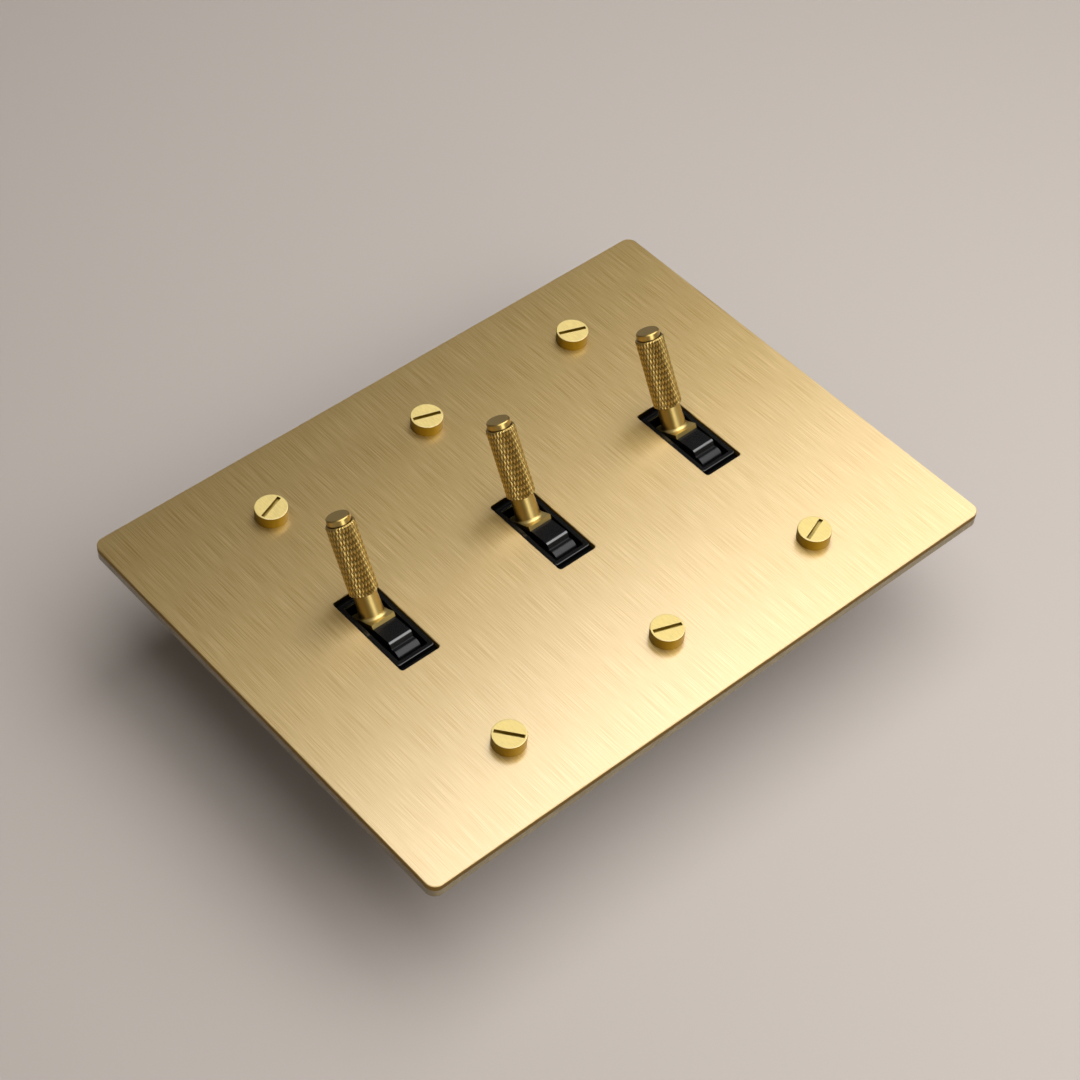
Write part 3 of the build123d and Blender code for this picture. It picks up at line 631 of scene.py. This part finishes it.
head_base = PLATE_TOP / MM
head_top = head_base + HEAD_HEIGHT
head = np.array([
    (HEAD_RADIUS - EDGE_HOLD, head_top),
    (HEAD_RADIUS - EDGE_ROUND, head_top),
    (HEAD_RADIUS - ROUND_MIDDLE, head_top - ROUND_MIDDLE),
    (HEAD_RADIUS, head_top - EDGE_ROUND),
    (HEAD_RADIUS, head_top - EDGE_HOLD),
    (HEAD_RADIUS, head_base),
    (RELIEF_RADIUS, head_base),
    (RELIEF_RADIUS, 0.0),
])
head_rings = circles(head[:, :1], head[:, 1:])
point = circles(np.array([[0.0]]), np.array([[THREAD_END]]))
screw_sheet = np.concatenate([slot_rings(head_top), head_rings, thread_rings(), point])
print("a screw has", screw_sheet.shape[0], "rings of", screw_sheet.shape[1], "points")

# %% [markdown]
# ## Six screws
# Six copies stand on the gang pitch and the screw spacing, and each slot has the angle that it has in the
# photograph. They are one object, because the CAD model has them as one group.

# %% Place the screws
SCREW_SPACING = 83.34
SLOT_ANGLES = {(-1, 1): 20, (0, 1): -19, (1, 1): -21, (-1, -1): -52, (0, -1): -20, (1, -1): 19}


def turned(points, degrees):
    """Points turned about Z by an angle t: x becomes x cos t - y sin t, and y becomes x sin t + y cos t."""
    c = cos(radians(degrees))
    s = sin(radians(degrees))
    return points @ np.array([[c, s, 0], [-s, c, 0], [0, 0, 1]])


screws = []
for (column, row), degrees in SLOT_ANGLES.items():
    placed = turned(screw_sheet, degrees) + (GANG_PITCH * column, SCREW_SPACING / 2 * row, 0)
    # A screw's rows go down its axis, so its columns are reversed and its faces point outwards
    screws.append(placed[:, ::-1] * MM)
threaded = wrapped_mesh("threaded_fixing_screws", screws, screw_brass)
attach(threaded, "housing")
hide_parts("fixing_screws")
print("placed", len(screws), "screws with", len(threaded.data.vertices), "points in all")

# %% [markdown]
# ## The floor
# The object lies over a pale floor that carries its soft shadow. A plain sheet is enough, far larger than
# the view, at the height of the lowest solid.

# %% Floor
FLOOR_HALF = 3.0
FLOOR_Z = cad_box[0][2]
corners = [(x * FLOOR_HALF, y * FLOOR_HALF, FLOOR_Z) for x, y in ((-1, -1), (1, -1), (1, 1), (-1, 1))]
floor_mesh = bpy.data.meshes.new("floor")
floor_mesh.from_pydata(corners, [], [(0, 1, 2, 3)])
# Pale stone: matt and even, it shows only light and shadow
stone, _, shader = new_material("floor, pale stone")
shader.inputs["Base Color"].default_value = linear("AEA6A0")
shader.inputs["Roughness"].default_value = 0.9
floor_mesh.materials.append(stone)
floor = bpy.data.objects.new("floor", floor_mesh)
scene.collection.objects.link(floor)
print("floor at", round(FLOOR_Z / MM, 2), "mm")

# %% [markdown]
# ## The light
# Brushed brass shows the lamp itself, so the lamp's form decides how the plate looks. A large softbox hangs
# over the near right end and gives the plate its run from pale to deep. A narrower core in it makes the
# middle of the highlight brighter. A small card low in front lights the sides of levers and screws, and a
# weak one behind lifts the far edges.

# %% Light panels


def panel(name, place, width, length, watts, along=(0, 1, 0)):
    """A rectangular light that faces the origin. With back pointing away from the origin, its width lies
    along the cross product of along and back, so that its length is as near to along as it can be."""
    data = bpy.data.lights.new(name, "AREA")
    data.shape = "RECTANGLE"
    data.size = width
    data.size_y = length
    data.energy = watts
    back = Vector(place).normalized()
    side = Vector(along).cross(back).normalized()
    turn = Matrix((side, back.cross(side), back)).transposed().to_4x4()
    made = bpy.data.objects.new(name, data)
    made.matrix_world = Matrix.Translation(place) @ turn
    scene.collection.objects.link(made)
    return made


panels = [
    panel("softbox_cloth", (0.156, -0.135, 0.4535), width=0.84, length=0.84, watts=4.6),
    panel("softbox_core", (0.160, -0.140, 0.4400), width=0.30, length=0.84, watts=1.1),
    panel("front_card", (-0.020, -0.550, 0.100), width=0.26, length=0.26, watts=0.70, along=(0, 0, 1)),
    panel("back_card", (0.300, 0.620, 0.160), width=0.50, length=0.28, watts=0.16, along=(0, 0, 1)),
]
print("lit by", ", ".join(made.name for made in panels))

# %% [markdown]
# ## The room
# What the panels leave is lit by the room. It is a warm white that is brighter on the camera's side than
# behind the softbox: the strength follows the dot product of a direction with one towards that side.

# %% Room light
CAMERA_SIDE = (-0.70, -0.70, 0.14)
SIDE_RANGE = (-0.4, 0.6)
DIM = 0.03
BRIGHT = 0.28
world = bpy.data.worlds.new("studio")
world.use_nodes = True
room = world.node_tree.nodes["Background"]
room.inputs["Color"].default_value = linear("FFF2E2")
toward = add(world.node_tree, "ShaderNodeTexCoord").outputs["Generated"]
share = add(world.node_tree, "ShaderNodeVectorMath", {0: toward, 1: CAMERA_SIDE}, operation="DOT_PRODUCT")
strength = {"Value": share.outputs["Value"], "From Min": SIDE_RANGE[0], "From Max": SIDE_RANGE[1]}
strength |= {"To Min": DIM, "To Max": BRIGHT}
strength = add(world.node_tree, "ShaderNodeMapRange", strength).outputs["Result"]
world.node_tree.links.new(strength, room.inputs["Strength"])
scene.world = world
scene.view_settings.view_transform = "Standard"
print("room light from", DIM, "to", BRIGHT)
